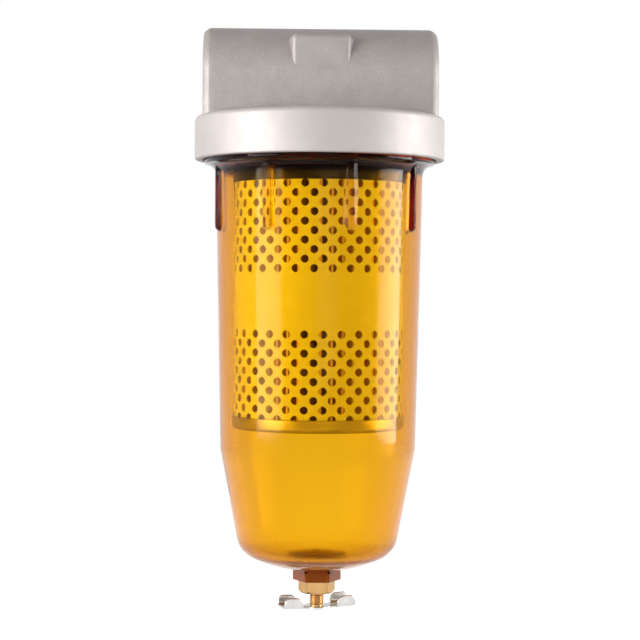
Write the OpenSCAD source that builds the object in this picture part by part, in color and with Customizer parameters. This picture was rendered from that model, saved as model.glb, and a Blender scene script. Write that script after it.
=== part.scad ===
// Clear-bowl fuel filter: a cast head with two ports in line, a see-through screw-on bowl,
// a spin-on pleated element and a drain cock with a wing handle.
// Millimetres, +Z up. The origin is the centre of the inlet port's mouth, and +X runs to the outlet.

/* [Head casting] */
// Length of the port barrel, from one port face to the other
barrel_len = 102; // [98:1:108]
// Diameter of the barrel's round top, and its depth from front to back
barrel_d = 42; // [38:0.5:48]
// Rounding of the barrel's ends
barrel_edge_r = 3; // [1:0.5:5]
// Height of the port axis above the top of the collar
axis_above_collar = 17; // [14.5:0.1:20]
// Wall of the collar outside the bowl's screw neck
collar_wall = 4; // [3.6:0.1:9]
// Height of the collar
collar_h = 19.9; // [19:0.1:26]
// Height of the slope round the collar's upper edge
collar_slope_h = 2.2; // [2:0.1:5]
// Width of the slope round the collar's upper edge
collar_slope_w = 2.6; // [1:0.1:4]
// Rounding of the collar's edges
collar_edge_r = 0.8; // [0.3:0.1:1.2]
// Thickness of the plate that closes the collar at the top
roof_t = 4; // [4:0.1:7]
// Diameter of the boss that holds the nipple
nipple_boss_d = 34; // [30:0.5:36]
// Height of the nipple boss below the roof
nipple_boss_h = 14.5; // [13:0.1:16]

/* [Head pads] */
// Width of the flat pad on the front and the back of the barrel
pad_w = 27.4; // [14:0.2:28]
// Height of the pad's top above the port axis
pad_top = 16.5; // [12:0.1:19]
// How far the pad's upper edge stands proud of the barrel
pad_proud = 0.4; // [0.2:0.1:1.5]
// How far the pad's front leans back over its height
pad_lean = 0.7; // [0.3:0.1:1.2]
// Spread of the pad's sides for each unit of depth
pad_side_slope = 0.2; // [0.2:0.05:1.2]
// How far the pad's upper corners slope down towards its root
pad_corner_drop = 2; // [2:0.5:8]
// Depth of the pad's root behind its front
pad_root_depth = 10.5; // [6:0.5:14]
// Rounding of the pad's edges
pad_edge_r = 2.8; // [1:0.1:3]

/* [Ports] */
// Diameter of the port's bore, at the root of its pipe thread
port_d = 26.6; // [20:0.1:27]
// Depth of the threaded port
port_depth = 17; // [12:0.5:18]
// Diameter of the passages behind the ports
passage_d = 19; // [14:0.5:20]
// Diameter of the hole that leads the inlet down into the bowl
inlet_drop_d = 15; // [10:0.5:16]
// Distance from the port's bottom to the edge of that hole
inlet_drop_set = 0.5; // [0.5:0.5:3]

/* [Nipple] */
// Outside diameter of the nipple, at the crest of its thread
nipple_d = 19; // [16:0.1:20]
// Bore of the nipple
nipple_bore_d = 13; // [8:0.5:14]
// Length of the nipple inside its boss
nipple_seat_len = 12; // [8:0.5:13]
// Length of the nipple below its boss
nipple_reach = 14; // [10:0.5:18]

/* [Bowl] */
// Gap on the radius between the element's caps and the bowl's shoulder
bowl_clear = 1.9; // [1.2:0.1:4]
// Widening of the bowl's radius from its shoulder to the top of its body
bowl_draft = 2.5; // [0.5:0.1:4]
// How far the screw neck stands out from the top of the body
neck_step = 5; // [3:0.1:6]
// Wall of the screw neck
neck_wall = 5.6; // [4:0.1:7]
// How far the neck shows below the collar
bowl_neck_drop = 1.8; // [0.5:0.1:3]
// Height of the body from its top to the shoulder
bowl_body_h = 120.4; // [116:0.1:150]
// Height of the tapered foot below the shoulder
bowl_foot_h = 54; // [46:0.5:70]
// Narrowing of the foot's radius for each unit of height
bowl_foot_taper = 0.19; // [0.1:0.01:0.24]
// Radius of the dished bottom
bowl_dish_r = 71; // [60:1:90]
// Rounding between the foot and the dished bottom
bowl_corner_r = 12; // [8:0.5:14]
// Wall of the bowl
bowl_wall = 3.2; // [2:0.1:3.6]

/* [Bowl ribs] */
// Number of ribs below the neck
rib_count = 8; // [4:1:12]
// Direction of the first rib, from the front towards the outlet
rib_turn = 15.5; // [0:0.5:44]
// Width of a rib
rib_w = 5.5; // [3:0.1:8]
// How far a rib stands proud of the wall
rib_proud = 1.6; // [0.5:0.1:2.5]
// Length of a rib below the neck
rib_len = 30; // [15:0.5:60]

/* [Drain boss] */
// Width of the hexagonal drain boss across its flats
drain_boss_af = 18.4; // [17:0.1:24]
// Height of the drain boss below the bowl's bottom
drain_boss_h = 4.2; // [3:0.1:8]
// Diameter of the ring that thickens the bowl's floor
floor_ring_d = 25.8; // [18:0.2:30]
// Height of that ring above the bowl's floor
floor_ring_h = 3.4; // [1:0.1:5]

/* [Element] */
// Length of the element over its end caps
element_len = 116; // [108:1:120]
// Outside diameter of the perforated tube
tube_d = 74.2; // [70:0.2:75]
// Thickness of the perforated tube
tube_t = 0.8; // [0.5:0.1:1.2]
// Thickness of the end caps
cap_t = 0.8; // [0.5:0.1:1.2]
// Depth of the top cap's skirt
top_skirt_h = 8.5; // [5:0.1:9]
// Depth of the bottom cap's skirt
bottom_skirt_h = 5.6; // [4:0.1:7]
// Depth of the resin in each cap
potting_t = 2.2; // [1.5:0.1:3]
// Diameter of the core tube
core_d = 27.2; // [26:0.2:30]
// Thickness of the core tube
core_t = 0.6; // [0.4:0.1:0.8]
// Height of the threaded bush
bush_h = 10; // [6:0.5:12]

/* [Perforation] */
// Diameter of a hole in the outer tube
hole_d = 3.4; // [2:0.1:3.6]
// Holes in one row round the outer tube
holes_per_row = 30; // [20:2:32]
// Distance from one row of holes to the next
row_pitch = 4; // [3.7:0.1:4.2]
// Rows in each of the two bands of holes
band_rows = 10; // [4:1:11]
// Rows left out between the two bands
blank_rows = 6; // [2:1:7]
// Distance from the top cap's skirt to the first row
first_row_drop = 1.6; // [1:0.1:4]
// Turn of the first hole from the front towards the outlet
hole_turn = 1.5; // [0:0.5:12]
// Diameter of a hole in the core tube
core_hole_d = 4; // [2:0.1:5]
// Holes in one row round the core tube
core_holes_per_row = 8; // [4:1:10]
// Distance from one row of holes in the core tube to the next
core_row_pitch = 9; // [7:0.5:14]

/* [Pleats] */
// Number of pleats
pleat_count = 48; // [30:1:54]
// Thickness of the pleated paper
paper_t = 0.5; // [0.3:0.05:0.6]

/* [Seals] */
// Thickness of the bowl's gasket
bowl_gasket_t = 2.8; // [1.5:0.1:3.5]
// Width of the bowl's gasket
bowl_gasket_w = 4; // [2.5:0.1:5]
// Thickness of the element's gasket
element_gasket_t = 3; // [2:0.1:4]
// Width of the element's gasket
element_gasket_w = 5.5; // [3:0.1:6]
// Section of the stem's seal ring
stem_seal_d = 1.1; // [0.8:0.05:1.3]
// Height of the groove that holds the seal ring
seal_groove_h = 1.5; // [1.4:0.05:1.8]

/* [Drain cock] */
// Diameter of the drain body's threaded shank
shank_d = 13.6; // [11:0.1:14.5]
// How far the shank stands above the floor ring
shank_stand = 1; // [0.3:0.1:2]
// Width of the drain body's hexagon across its flats
hex_af = 14.3; // [13:0.1:17]
// Height of the drain body's hexagon
hex_h = 5.4; // [3:0.1:8]
// Turn of the hexagon from square to the front
hex_turn = 6.5; // [0:0.5:30]
// Diameter of the stem, at the crest of its thread
stem_d = 6.4; // [5.5:0.1:7]
// Length of stem that shows below the hexagon
stem_show = 5.8; // [4:0.1:10]
// Diameter of the stem above its thread
stem_land_d = 5.4; // [4.8:0.1:5.4]
// Length of the stem above its thread
stem_land_len = 6; // [5:0.1:7]
// Diameter of the stem's drain hole
stem_bore_d = 2.2; // [1.2:0.1:2.4]
// Diameter of the hole across the stem
stem_cross_d = 1.6; // [0.8:0.1:1.6]
// Diameter of the opening in the valve seat
seat_d = 3.6; // [2.4:0.1:4]
// Thickness of the seat's lip
seat_lip_t = 1.5; // [0.8:0.1:3]

/* [Wing handle] */
// Length of the handle from tip to tip
wing_len = 33.5; // [26:0.5:44]
// Width of the handle
wing_w = 11; // [9:0.1:14]
// Height of the folded ears
wing_h = 4.6; // [3.5:0.1:8]
// Thickness of the sheet
wing_t = 1.2; // [0.8:0.1:1.6]
// Distance from the stem to the start of each ear
ear_start = 8; // [5:0.1:9]
// Radius of the fold
fold_r = 2.4; // [1.8:0.1:3]
// Rounding of an ear's corners
ear_corner_r = 2.8; // [1:0.1:3]
// Rise of each arm towards its tip, in degrees
wing_rise = 2; // [0:0.5:10]
// Turn of the handle about the stem
wing_turn = 18.5; // [-60:0.5:60]
// Width of the stem's square end
tang_w = 4.2; // [3.4:0.1:4.2]
// Diameter of the head riveted over below the handle
rivet_d = 6.6; // [6.2:0.1:8]
// Thickness of that head
rivet_t = 0.7; // [0.4:0.1:1.2]

/* [Clearances] */
// Gap on the radius between the bowl's neck and the collar, where the thread lies
neck_gap = 0.4; // [0.3:0.05:0.8]
// Gap on the radius of a screwed or sliding fit
fit_gap = 0.05; // [0.02:0.01:0.08]
// Gap on the radius between pieces of the element
element_gap = 0.1; // [0.05:0.05:0.3]
// Gap on the radius between the pleats and the tubes beside them
pleat_gap = 0.4; // [0.3:0.05:0.6]
// Gap on the radius between the element's gasket and the nipple
gasket_gap = 0.4; // [0.3:0.05:0.6]

/* [Hidden] */
$fn = 96;
// Overlap of cutting shapes past the faces they cut
cut = 1;
// Facets of the rounded pad corners
pad_fn = 32;

axis_x = barrel_len / 2;
barrel_r = barrel_d / 2;
collar_top_z = -axis_above_collar;
collar_bottom_z = collar_top_z - collar_h;
roof_z = collar_top_z - roof_t;
boss_face_z = roof_z - nipple_boss_h;
nipple_top_z = boss_face_z + nipple_seat_len;
inlet_drop_x = port_depth + inlet_drop_set + inlet_drop_d / 2;

skirt_bore_r = tube_d / 2 + element_gap;
skirt_r = skirt_bore_r + cap_t;
shoulder_r = skirt_r + bowl_clear + bowl_wall;
bowl_top_r = shoulder_r + bowl_draft;
neck_r = bowl_top_r + neck_step;
neck_bore_r = neck_r - neck_wall;
collar_bore_r = neck_r + neck_gap;
collar_r = collar_bore_r + collar_wall;
rim_z = roof_z - bowl_gasket_t;
neck_bottom_z = collar_bottom_z - bowl_neck_drop;
body_top_z = neck_bottom_z - neck_step;
shoulder_z = body_top_z - bowl_body_h;
bowl_bottom_z = shoulder_z - bowl_foot_h;
dish_centre_z = bowl_bottom_z + bowl_dish_r;
floor_z = bowl_bottom_z + bowl_wall;
floor_ring_z = floor_z + floor_ring_h;
boss_bottom_z = bowl_bottom_z - drain_boss_h;

element_top_z = boss_face_z - element_gasket_t;
element_bottom_z = element_top_z - element_len;
top_bed_z = element_top_z - cap_t;
bottom_bed_z = element_bottom_z + cap_t;
pack_top_z = top_bed_z - potting_t;
pack_bottom_z = bottom_bed_z + potting_t;
core_r = core_d / 2;
first_row_z = element_top_z - top_skirt_h - first_row_drop;
nipple_hole_r = nipple_d / 2 + fit_gap;

hex_bottom_z = boss_bottom_z - hex_h;
shank_top_z = floor_ring_z + shank_stand;
stem_r = stem_d / 2;
stem_hole_r = stem_r + fit_gap;
land_r = stem_land_d / 2;
seat_z = shank_top_z - seat_lip_t;
seat_cone_h = stem_hole_r - seat_d / 2;
stem_tip_z = seat_z - fit_gap;
tip_cone_h = land_r - seat_d / 2;
wing_top_z = hex_bottom_z - stem_show;
wing_bottom_z = wing_top_z - wing_t;
land_bottom_z = stem_tip_z - stem_land_len;
cross_z = stem_tip_z - tip_cone_h - stem_cross_d;
seal_centre_r = stem_r - stem_seal_d / 2;
seal_groove_r = seal_centre_r - stem_seal_d / 2 - fit_gap;
seal_z = (cross_z - stem_cross_d / 2 + land_bottom_z) / 2;

function polar(r, a) = [r * cos(a), r * sin(a)];
function unit(v) = v / norm(v);

// Moves a piece that turns about the bowl's axis to its place under the middle of the barrel
module on_axis(z = 0) {
    translate([axis_x, 0, z]) children();
}

module ring(outer_r, inner_r, h) {
    difference() {
        cylinder(r = outer_r, h = h);
        translate([0, 0, -cut]) cylinder(r = inner_r, h = h + 2 * cut);
    }
}

// Hexagon with a flat to the front
module hexagon(across_flats, h) {
    cylinder(d = across_flats / cos(30), h = h, $fn = 6);
}

module rounded_rectangle(size, r) {
    translate([r, 0]) square([size.x - 2 * r, size.y]);
    translate([0, r]) square([size.x, size.y - 2 * r]);
    for (x = [r, size.x - r], y = [r, size.y - r]) {
        translate([x, y]) circle(r);
    }
}

// Barrel: a round top about the port axis on an upright body of the same plan
module barrel() {
    rotate([0, 90, 0]) rotate_extrude() {
        intersection() {
            translate([-barrel_r, 0]) rounded_rectangle([barrel_d, barrel_len], barrel_edge_r);
            square([barrel_r, barrel_len]);
        }
    }
    translate([0, -barrel_r, collar_top_z - cut]) {
        linear_extrude(-collar_top_z + cut) rounded_rectangle([barrel_len, barrel_d], barrel_edge_r);
    }
}

// Flat pad across the barrel's front, with sides that spread until they meet the round top
module pad() {
    front_y = -(barrel_r + pad_proud - pad_edge_r);
    half_w = pad_w / 2 - pad_edge_r;
    root_half_w = half_w + pad_root_depth * pad_side_slope;
    root_y = front_y + pad_root_depth;
    root_top_z = pad_top - pad_edge_r - pad_corner_drop;
    hull() {
        for (side = [-1, 1]) {
            translate([side * half_w, front_y, pad_top - pad_edge_r]) sphere(pad_edge_r, $fn = pad_fn);
            translate([side * half_w, front_y + pad_lean, 0]) sphere(pad_edge_r, $fn = pad_fn);
            translate([side * root_half_w, root_y, root_top_z]) sphere(pad_edge_r, $fn = pad_fn);
            translate([side * root_half_w, root_y, 0]) sphere(pad_edge_r, $fn = pad_fn);
        }
    }
}

module collar() {
    rotate_extrude() difference() {
        translate([0, collar_bottom_z]) union() {
            square([collar_r - collar_edge_r, collar_h]);
            translate([0, collar_edge_r]) square([collar_r, collar_h - collar_edge_r]);
            translate([collar_r - collar_edge_r, collar_edge_r]) circle(collar_edge_r);
        }
        polygon([
            [collar_r, collar_top_z - collar_slope_h],
            [collar_r + cut, collar_top_z - collar_slope_h],
            [collar_r + cut, collar_top_z + cut],
            [collar_r - collar_slope_w, collar_top_z + cut],
            [collar_r - collar_slope_w, collar_top_z]
        ]);
        translate([0, collar_bottom_z - cut]) square([collar_bore_r, roof_z - collar_bottom_z + cut]);
    }
}

// Threaded port and the passage behind it, cut from the port's face inwards along +X
module port(passage_end) {
    translate([-cut, 0, 0]) rotate([0, 90, 0]) cylinder(d = port_d, h = port_depth + cut);
    translate([port_depth - cut, 0, 0]) {
        rotate([0, 90, 0]) cylinder(d = passage_d, h = passage_end - port_depth + cut);
    }
}

module filter_head() {
    color([0.69, 0.67, 0.66]) difference() {
        union() {
            barrel();
            on_axis() {
                pad();
                rotate(180) pad();
                collar();
                translate([0, 0, boss_face_z]) cylinder(d = nipple_boss_d, h = nipple_boss_h + cut);
            }
        }
        port(inlet_drop_x);
        translate([inlet_drop_x, 0, roof_z - cut]) cylinder(d = inlet_drop_d, h = cut - roof_z);
        translate([barrel_len, 0, 0]) mirror([1, 0, 0]) port(axis_x);
        on_axis() {
            sphere(d = passage_d);
            translate([0, 0, nipple_top_z - cut]) cylinder(d = nipple_bore_d, h = cut - nipple_top_z);
            translate([0, 0, boss_face_z - cut]) cylinder(r = nipple_hole_r, h = nipple_seat_len + cut);
        }
    }
}

module element_nipple() {
    color([0.72, 0.71, 0.68]) on_axis(boss_face_z - nipple_reach) {
        ring(nipple_d / 2, nipple_bore_d / 2, nipple_reach + nipple_seat_len);
    }
}

module bowl_gasket() {
    outer_r = neck_r - neck_gap;
    color([0.12, 0.12, 0.12]) on_axis(rim_z) ring(outer_r, outer_r - bowl_gasket_w, bowl_gasket_t);
}

// Half outline of the bowl, set in from its outer face by a wall.
// The dish and the foot are joined by an arc that touches them both.
module bowl_outline(inset) {
    top_r = bowl_top_r - inset;
    dish_r = bowl_dish_r - inset;
    corner_r = bowl_corner_r - inset;
    shoulder = [shoulder_r - inset, shoulder_z];
    dish_centre = [0, dish_centre_z];
    foot_dir = unit([-bowl_foot_taper, -1]);
    inwards = [foot_dir.y, -foot_dir.x];
    // Point on the foot's line, moved in by the arc's radius, whose distance to the dish's centre fits
    start = shoulder + inwards * corner_r - dish_centre;
    along = start * foot_dir;
    reach = -along + sqrt(along * along - start * start + pow(dish_r - corner_r, 2));
    corner_centre = dish_centre + start + foot_dir * reach;
    foot_touch = shoulder + foot_dir * reach;
    dish_touch = dish_centre + unit(corner_centre - dish_centre) * dish_r;
    foot_end = shoulder + foot_dir * 2 * bowl_foot_h;
    past_corner = foot_touch + foot_dir * corner_r * 2;
    difference() {
        intersection() {
            polygon([[0, body_top_z], [top_r, body_top_z], shoulder, foot_end, [0, foot_end.y]]);
            union() {
                translate(dish_centre) circle(dish_r);
                translate([0, dish_centre_z]) square([neck_r, bowl_dish_r + bowl_body_h]);
            }
        }
        difference() {
            polygon([foot_touch, past_corner, dish_touch]);
            translate(corner_centre) circle(corner_r);
        }
    }
}

// Screw neck with a hollow fillet below it
module bowl_neck_outline() {
    difference() {
        translate([0, body_top_z]) square([neck_r, rim_z - body_top_z]);
        translate([neck_r, body_top_z]) circle(neck_step);
    }
}

module bowl_ribs() {
    rib_r = rib_w / 2;
    rib_x = bowl_top_r + rib_proud - rib_r;
    for (i = [0 : rib_count - 1]) {
        rotate(rib_turn - 90 + i * 360 / rib_count) translate([rib_x, 0, neck_bottom_z - rib_len + rib_r]) {
            cylinder(r = rib_r, h = rib_len - rib_r + cut);
            sphere(rib_r);
        }
    }
}

module bowl() {
    hole_r = shank_d / 2 + fit_gap;
    color([0.9, 0.62, 0.06, 0.5]) on_axis() difference() {
        union() {
            difference() {
                union() {
                    rotate_extrude() bowl_outline(0);
                    rotate_extrude() bowl_neck_outline();
                    bowl_ribs();
                    translate([0, 0, boss_bottom_z]) {
                        hexagon(drain_boss_af, drain_boss_h + bowl_wall);
                    }
                }
                rotate_extrude() bowl_outline(bowl_wall);
                translate([0, 0, neck_bottom_z]) {
                    cylinder(r = neck_bore_r, h = rim_z - neck_bottom_z + cut);
                }
                translate([0, 0, body_top_z - cut]) {
                    cylinder(r = bowl_top_r - bowl_wall, h = neck_step + 2 * cut);
                }
            }
            translate([0, 0, floor_z - bowl_wall / 2]) {
                cylinder(d = floor_ring_d, h = floor_ring_h + bowl_wall / 2);
            }
        }
        translate([0, 0, boss_bottom_z - cut]) {
            cylinder(r = hole_r, h = floor_ring_z - boss_bottom_z + 2 * cut);
        }
    }
}

module drain_body() {
    color([0.83, 0.67, 0.41]) on_axis() difference() {
        union() {
            translate([0, 0, hex_bottom_z]) rotate(hex_turn) hexagon(hex_af, hex_h);
            translate([0, 0, boss_bottom_z - hex_h / 2]) {
                cylinder(d = shank_d, h = shank_top_z - boss_bottom_z + hex_h / 2);
            }
        }
        translate([0, 0, hex_bottom_z - cut]) {
            cylinder(r = stem_hole_r, h = seat_z - seat_cone_h - hex_bottom_z + cut);
        }
        translate([0, 0, seat_z - seat_cone_h]) cylinder(r1 = stem_hole_r, r2 = seat_d / 2, h = seat_cone_h);
        translate([0, 0, seat_z - cut / 2]) cylinder(d = seat_d, h = seat_lip_t + cut);
    }
}

// Stem with a conical tip, a hole across it below the tip and a drain hole down its middle
module drain_stem() {
    color([0.85, 0.69, 0.43]) on_axis() difference() {
        union() {
            translate([0, 0, stem_tip_z - tip_cone_h]) {
                cylinder(r1 = land_r, r2 = seat_d / 2, h = tip_cone_h);
            }
            translate([0, 0, land_bottom_z]) cylinder(r = land_r, h = stem_land_len - tip_cone_h);
            translate([0, 0, wing_top_z]) cylinder(r = stem_r, h = land_bottom_z - wing_top_z);
            translate([-tang_w / 2, -tang_w / 2, wing_bottom_z - rivet_t / 2]) {
                cube([tang_w, tang_w, wing_t + rivet_t]);
            }
            translate([0, 0, wing_bottom_z - rivet_t]) cylinder(d = rivet_d, h = rivet_t);
        }
        translate([0, 0, seal_z - seal_groove_h / 2]) ring(stem_r, seal_groove_r, seal_groove_h);
        translate([-stem_d, 0, cross_z]) rotate([0, 90, 0]) cylinder(d = stem_cross_d, h = 2 * stem_d);
        translate([0, 0, wing_bottom_z - rivet_t - cut]) {
            cylinder(d = stem_bore_d, h = cross_z - wing_bottom_z + rivet_t + cut);
        }
    }
}

module stem_seal() {
    color([0.13, 0.13, 0.13]) on_axis(seal_z) {
        rotate_extrude() translate([seal_centre_r, 0]) circle(d = stem_seal_d);
    }
}

// One arm of the handle: a folded channel whose ears are rounded at both ends
module wing_arm() {
    arm_len = wing_len / 2 - ear_start;
    rotate([0, -wing_rise, 0]) intersection() {
        translate([ear_start, 0, 0]) rotate([90, 0, 90]) linear_extrude(arm_len) difference() {
            translate([-wing_w / 2, 0]) rounded_rectangle([wing_w, wing_h + 2 * fold_r], fold_r);
            translate([-wing_w / 2 + wing_t, wing_t]) {
                rounded_rectangle([wing_w - 2 * wing_t, wing_h + 2 * fold_r], fold_r - wing_t);
            }
        }
        translate([0, wing_w, 0]) rotate([90, 0, 0]) linear_extrude(2 * wing_w) {
            translate([ear_start, -ear_corner_r]) {
                rounded_rectangle([arm_len, wing_h + ear_corner_r], ear_corner_r);
            }
        }
    }
}

module wing_handle() {
    hole_w = tang_w + 2 * fit_gap;
    color([0.8, 0.8, 0.79]) on_axis(wing_bottom_z) rotate(wing_turn) difference() {
        union() {
            wing_arm();
            rotate(180) wing_arm();
            linear_extrude(wing_t) {
                circle(d = wing_w);
                square([2 * (ear_start + wing_t), wing_w - 2 * fold_r], center = true);
            }
        }
        rotate(-wing_turn) translate([-hole_w / 2, -hole_w / 2, -cut]) {
            cube([hole_w, hole_w, wing_t + 2 * cut]);
        }
    }
}

module element_gasket() {
    inner_r = nipple_d / 2 + gasket_gap;
    color([0.12, 0.12, 0.12]) on_axis(element_top_z) {
        ring(inner_r + element_gasket_w, inner_r, element_gasket_t);
    }
}

// Pressed cap: a disc with a skirt that hangs from its edge, and a hole in its middle if one is asked for
module end_cap(skirt_h, hole_r) {
    difference() {
        translate([0, 0, -skirt_h]) cylinder(r = skirt_r, h = skirt_h);
        translate([0, 0, -skirt_h - cut]) cylinder(r = skirt_bore_r, h = skirt_h + cut - cap_t);
        if (hole_r > 0) {
            translate([0, 0, -skirt_h - cut]) cylinder(r = hole_r, h = skirt_h + 2 * cut);
        }
    }
}

module element_top_cap() {
    color([0.42, 0.4, 0.33]) on_axis(element_top_z) end_cap(top_skirt_h, nipple_hole_r + element_gap);
}

module element_bottom_cap() {
    color([0.62, 0.55, 0.3]) on_axis(element_bottom_z) mirror([0, 0, 1]) end_cap(bottom_skirt_h, 0);
}

module element_thread_bush() {
    color([0.7, 0.69, 0.66]) on_axis(top_bed_z - bush_h) {
        ring(core_r - core_t - element_gap, nipple_hole_r, bush_h);
    }
}

// Holes drilled through a tube, in rows of which every second one is turned by half a step
module drilled_rows(rows, per_row, pitch, d, outer_r, wall, turn) {
    for (row = rows, i = [0 : per_row - 1]) {
        rotate(turn - 90 + (i + (row % 2) / 2) * 360 / per_row) {
            translate([outer_r - wall - cut, 0, -row * pitch]) {
                rotate([0, 90, 0]) cylinder(d = d, h = wall + 2 * cut);
            }
        }
    }
}

module element_outer_tube() {
    second_band = band_rows + blank_rows;
    rows = [for (i = [0 : band_rows - 1], band_start = [0, second_band]) band_start + i];
    color([0.98, 0.8, 0.12]) on_axis() difference() {
        translate([0, 0, pack_bottom_z]) ring(tube_d / 2, tube_d / 2 - tube_t, pack_top_z - pack_bottom_z);
        translate([0, 0, first_row_z]) {
            drilled_rows(rows, holes_per_row, row_pitch, hole_d, tube_d / 2, tube_t, hole_turn);
        }
    }
}

module element_core_tube() {
    core_len = top_bed_z - bottom_bed_z;
    last_row = floor((pack_top_z - bush_h - pack_bottom_z) / core_row_pitch) - 1;
    color([0.75, 0.74, 0.72]) on_axis() difference() {
        translate([0, 0, bottom_bed_z]) ring(core_r, core_r - core_t, core_len);
        translate([0, 0, pack_top_z - bush_h - core_row_pitch / 2]) {
            drilled_rows([0 : last_row], core_holes_per_row, core_row_pitch, core_hole_d, core_r, core_t, 0);
        }
    }
}

// Pleats: the outer outline has flat tips and sharp valleys, and the inner one the reverse, a paper apart
module pleated_media() {
    tip_r = tube_d / 2 - tube_t - pleat_gap;
    valley_r = core_r + pleat_gap;
    step = 360 / pleat_count;
    tip_a = asin(paper_t / tip_r);
    valley_a = asin(paper_t / valley_r);
    outer = [for (i = [0 : pleat_count - 1]) each [
        polar(tip_r, i * step - tip_a),
        polar(tip_r, i * step + tip_a),
        polar(valley_r + paper_t, (i + 0.5) * step)
    ]];
    inner = [for (i = [0 : pleat_count - 1]) each [
        polar(tip_r - paper_t, i * step),
        polar(valley_r, (i + 0.5) * step - valley_a),
        polar(valley_r, (i + 0.5) * step + valley_a)
    ]];
    color([0.93, 0.88, 0.72]) on_axis(pack_bottom_z) {
        linear_extrude(pack_top_z - pack_bottom_z) difference() {
            polygon(outer);
            polygon(inner);
        }
    }
}

module potting() {
    ring(skirt_bore_r - element_gap, core_r + element_gap, potting_t);
}

module top_potting() {
    color([0.85, 0.8, 0.62]) on_axis(pack_top_z) potting();
}

module bottom_potting() {
    color([0.85, 0.8, 0.62]) on_axis(bottom_bed_z) potting();
}

filter_head();
element_nipple();
bowl_gasket();
bowl();
drain_body();
drain_stem();
stem_seal();
wing_handle();
element_gasket();
element_top_cap();
element_thread_bush();
element_outer_tube();
pleated_media();
element_core_tube();
element_bottom_cap();
top_potting();
bottom_potting();
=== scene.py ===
import math

import bmesh
import bpy
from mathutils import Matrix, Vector


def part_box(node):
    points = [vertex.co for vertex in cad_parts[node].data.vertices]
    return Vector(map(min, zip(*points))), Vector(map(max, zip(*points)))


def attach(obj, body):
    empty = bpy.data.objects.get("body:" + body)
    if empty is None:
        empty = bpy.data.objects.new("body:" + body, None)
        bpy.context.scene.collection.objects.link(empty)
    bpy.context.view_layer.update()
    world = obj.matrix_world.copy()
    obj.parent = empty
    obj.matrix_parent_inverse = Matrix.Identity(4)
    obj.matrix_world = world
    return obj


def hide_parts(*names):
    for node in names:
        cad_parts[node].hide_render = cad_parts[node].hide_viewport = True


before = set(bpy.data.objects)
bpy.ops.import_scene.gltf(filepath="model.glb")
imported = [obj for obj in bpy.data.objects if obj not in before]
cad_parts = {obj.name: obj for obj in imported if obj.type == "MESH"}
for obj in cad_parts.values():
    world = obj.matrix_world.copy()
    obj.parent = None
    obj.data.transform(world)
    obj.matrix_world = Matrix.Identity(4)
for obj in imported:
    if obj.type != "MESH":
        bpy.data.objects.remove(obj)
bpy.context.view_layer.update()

MM = 0.001
TAU = 2 * math.pi
TINY = 1e-6
WELD = 0.002

# Sockets of a mix node for colours
MIX_FACTOR = 0
MIX_A = 6
MIX_B = 7
MIX_RESULT = 2


# Sizes, in millimetres and degrees

def span(node):
    """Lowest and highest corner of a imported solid."""
    lo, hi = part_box(node)
    return lo / MM, hi / MM


head_lo, head_hi = span("filter_head")
bowl_lo, bowl_hi = span("bowl")
drain_lo, drain_hi = span("drain_body")
stem_lo, stem_hi = span("drain_stem")
top_cap_lo, top_cap_hi = span("element_top_cap")
low_cap_lo, low_cap_hi = span("element_bottom_cap")

AXIS_X = (bowl_lo.x + bowl_hi.x) / 2

# Barrel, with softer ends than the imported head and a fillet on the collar
BARREL_LEN = 2 * AXIS_X
BARREL_R = head_hi.z
BARREL_EDGE = 3.0
BARREL_EDGE_DEPTH = 2.3
BARREL_EDGE_POWER = 1.5
BARREL_FOOT = 3.0
FILLET_R = 1.6
FILLET_END = 40.0
FILLET_FADE = 6.0

# Collar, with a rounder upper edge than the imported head, and the nipple boss under its roof
COLLAR_R = (head_hi.x - head_lo.x) / 2
COLLAR_LOW = head_lo.z
COLLAR_TOP = -17.0
COLLAR_EDGE = 0.8
COLLAR_FALL = 0.9
COLLAR_FALL_W = 14.0
COLLAR_INNER = (30.0, 12.0)
SLOPE_H = 2.4
SLOPE_W = 2.6
ROOF_T = 4.0
ROOF = COLLAR_TOP - ROOF_T
COLLAR_BORE = 51.0
BORE_EDGE = 1.0
BORE_MOUTH = 0.7
BOSS_R = 17.0
BOSS_H = 14.5
BOSS_FACE = ROOF - BOSS_H
BOSS_EDGE = 0.6
BOSS_FILLET = 1.5
NIPPLE_HOLE = 9.55
NIPPLE_HOLE_TOP = ROOF + ROOF_T / 2
NIPPLE_EDGE = 0.8

# Where the head takes its second material, turned metal: end faces, ports, the collar's side and the boss
TURNED_INDEX = 1
TURNED_END = 0.05
TURNED_COLLAR_R = COLLAR_R - SLOPE_W - 1.0
TURNED_BOSS_R = 20.0

# Pads on the front and the back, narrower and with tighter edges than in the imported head
PAD_HALF_W = 12.8
PAD_TOP = 16.5
PAD_PROUD = 0.4
PAD_LEAN = 0.7
PAD_SLOPE = 0.3
PAD_DROP = 1.37
PAD_DEPTH = 7.2
PAD_EDGE = 2.2

# Ports with a taper thread, and the passages behind them
PORT_R = 13.3
PORT_DEPTH = 17.0
PORT_MOUTH = 1.0
PORT_PITCH = 1.814
PORT_TOOTH = 0.75
PORT_TOOTH_FLANK = 2.4
PORT_TAPER = 1 / 32
PORT_RUN_OUT = 1.5
PASSAGE_R = 9.5
PASSAGE_EDGE = 0.4
INLET_END = 25.0
OUTLET_END = AXIS_X - 8.0

# End of a port's thread, as steps from its depth and its radius
PORT_FOOT = ((-0.8, -0.5), (0.0, -1.2))

# Closed end of a passage, as a distance past its end and a share of its radius
PASSAGE_END = ((-4.0, 1.0), (-1.2, 0.8), (0.0, 0.4), (0.2, 0.0))

# Steps of the head's mesh
EDGE_STEPS = 8
BALL_STEP = 15
PORT_STEPS = 8
FINE_STEP = 0.6
COARSE_STEP = 2.0
FINE_REACH = 24.0
FINE_TURN = 1.0
COARSE_TURN = 3.0
FINE_ARC = 56.0
COLLAR_SIDES = 192

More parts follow.
